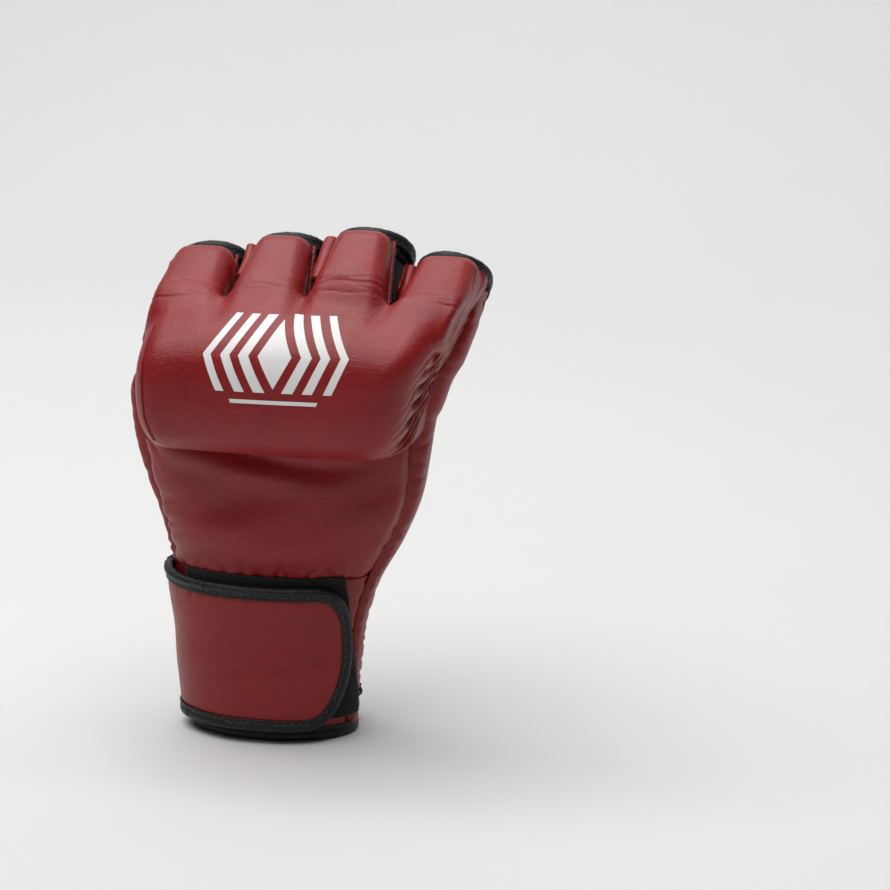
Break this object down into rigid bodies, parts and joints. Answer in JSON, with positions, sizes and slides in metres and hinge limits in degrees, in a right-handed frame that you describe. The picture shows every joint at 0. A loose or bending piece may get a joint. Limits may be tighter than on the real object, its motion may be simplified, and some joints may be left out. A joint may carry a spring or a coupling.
{
  "type": "mma glove",
  "caption": "Left-hand open-palm grappling glove with a padded knuckle bar, padded open finger tubes, a thumb hole and a hook-and-loop wrist strap.",
  "frame": {"origin": "on the floor plane, in the middle of the wrist opening at the bottom of the cuff", "axes": "+Z from the cuff to the knuckles, -Y the back of the hand, +Y the palm, +X the thumb side"},
  "size_m": [0.1445, 0.0917, 0.2109],
  "materials": {
    "red_leather": "fine grained, semi-gloss",
    "black_binding": "semi-gloss, stitched",
    "black_lining": "matte",
    "loop_tape": "fuzzy, matte",
    "hook_tape": "rough, matte",
    "label": "woven satin",
    "foam": "soft closed-cell padding"
  },
  "bodies": {
    "glove": {"cuff_back": "red_leather", "back_panel": "red_leather", "knuckle_backing": "red_leather", "thumb_side_gusset": "red_leather", "little_side_gusset": "red_leather", "hand_lining": "black_lining", "thumb_hole_rim": "red_leather", "thenar_panel": "red_leather", "hypothenar_panel": "red_leather", "palm_bridge": "red_leather", "bridge_binding": "black_binding", "palm_opening_binding": "black_binding", "cuff_binding": "black_binding", "thumb_side_roll": "red_leather", "knuckle_foam": "foam", "knuckle_pad_cover": "red_leather", "loop_tape": "loop_tape", "strap_root_leather": "red_leather", "strap_root_binding": "black_binding"},
    "strap_flap": {"strap_palm_leather": "red_leather", "strap_palm_binding": "black_binding", "woven_label": "label"},
    "strap_back": {"strap_back_leather": "red_leather", "strap_back_binding": "black_binding", "hook_tape_back": "hook_tape"},
    "strap_tip": {"strap_tip_leather": "red_leather", "strap_tip_binding": "black_binding", "hook_tape_tip": "hook_tape"},
    "little_finger": {"little_finger_back_lining": "black_lining", "little_finger_palm_loop": "red_leather", "little_finger_rim_binding": "black_binding", "little_finger_pad_foam": "foam", "little_finger_pad_cover": "red_leather"},
    "ring_finger": {"ring_finger_back_lining": "black_lining", "ring_finger_palm_loop": "red_leather", "ring_finger_rim_binding": "black_binding", "ring_finger_pad_foam": "foam", "ring_finger_pad_cover": "red_leather", "ring_finger_web_tab": "red_leather"},
    "middle_finger": {"middle_finger_back_lining": "black_lining", "middle_finger_palm_loop": "red_leather", "middle_finger_rim_binding": "black_binding", "middle_finger_pad_foam": "foam", "middle_finger_pad_cover": "red_leather", "middle_finger_web_tab": "red_leather"},
    "index_finger": {"index_finger_back_lining": "black_lining", "index_finger_palm_loop": "red_leather", "index_finger_rim_binding": "black_binding", "index_finger_pad_foam": "foam", "index_finger_pad_cover": "red_leather", "index_finger_web_tab": "red_leather"}
  },
  "joints": [
    {"name": "strap_flap_open", "type": "hinge", "parent": "glove", "child": "strap_flap", "pos_m": [0.0035, 0.0316, 0.0405], "axis": [0.153, -0.0389, -0.9875], "range_deg": [0, 20]},
    {"name": "strap_unwrap", "type": "hinge", "parent": "strap_flap", "child": "strap_back", "pos_m": [-0.0396, -0.01465, 0.0365], "axis": [0, 0, -1], "range_deg": [0, 150]},
    {"name": "strap_tip_peel", "type": "hinge", "parent": "strap_back", "child": "strap_tip", "pos_m": [0.00965, -0.03075, 0.0365], "axis": [0, 0.0428, -0.9991], "range_deg": [0, 60]},
    {"name": "little_finger_bend", "type": "hinge", "parent": "glove", "child": "little_finger", "pos_m": [-0.0285, -0.018, 0.1915], "axis": [-1, 0, 0], "range_deg": [-10, 18]},
    {"name": "ring_finger_bend", "type": "hinge", "parent": "glove", "child": "ring_finger", "pos_m": [0.0055, -0.018, 0.1915], "axis": [-1, 0, 0], "range_deg": [-10, 18]},
    {"name": "middle_finger_bend", "type": "hinge", "parent": "glove", "child": "middle_finger", "pos_m": [0.0395, -0.018, 0.1915], "axis": [-1, 0, 0], "range_deg": [-10, 18]},
    {"name": "index_finger_bend", "type": "hinge", "parent": "glove", "child": "index_finger", "pos_m": [0.0735, -0.018, 0.1915], "axis": [-1, 0, 0], "range_deg": [-10, 18]}
  ],
  "couplings": [
    {"joint": "strap_flap_open", "follows": "strap_unwrap", "ratio": 0.13333}
  ]
}
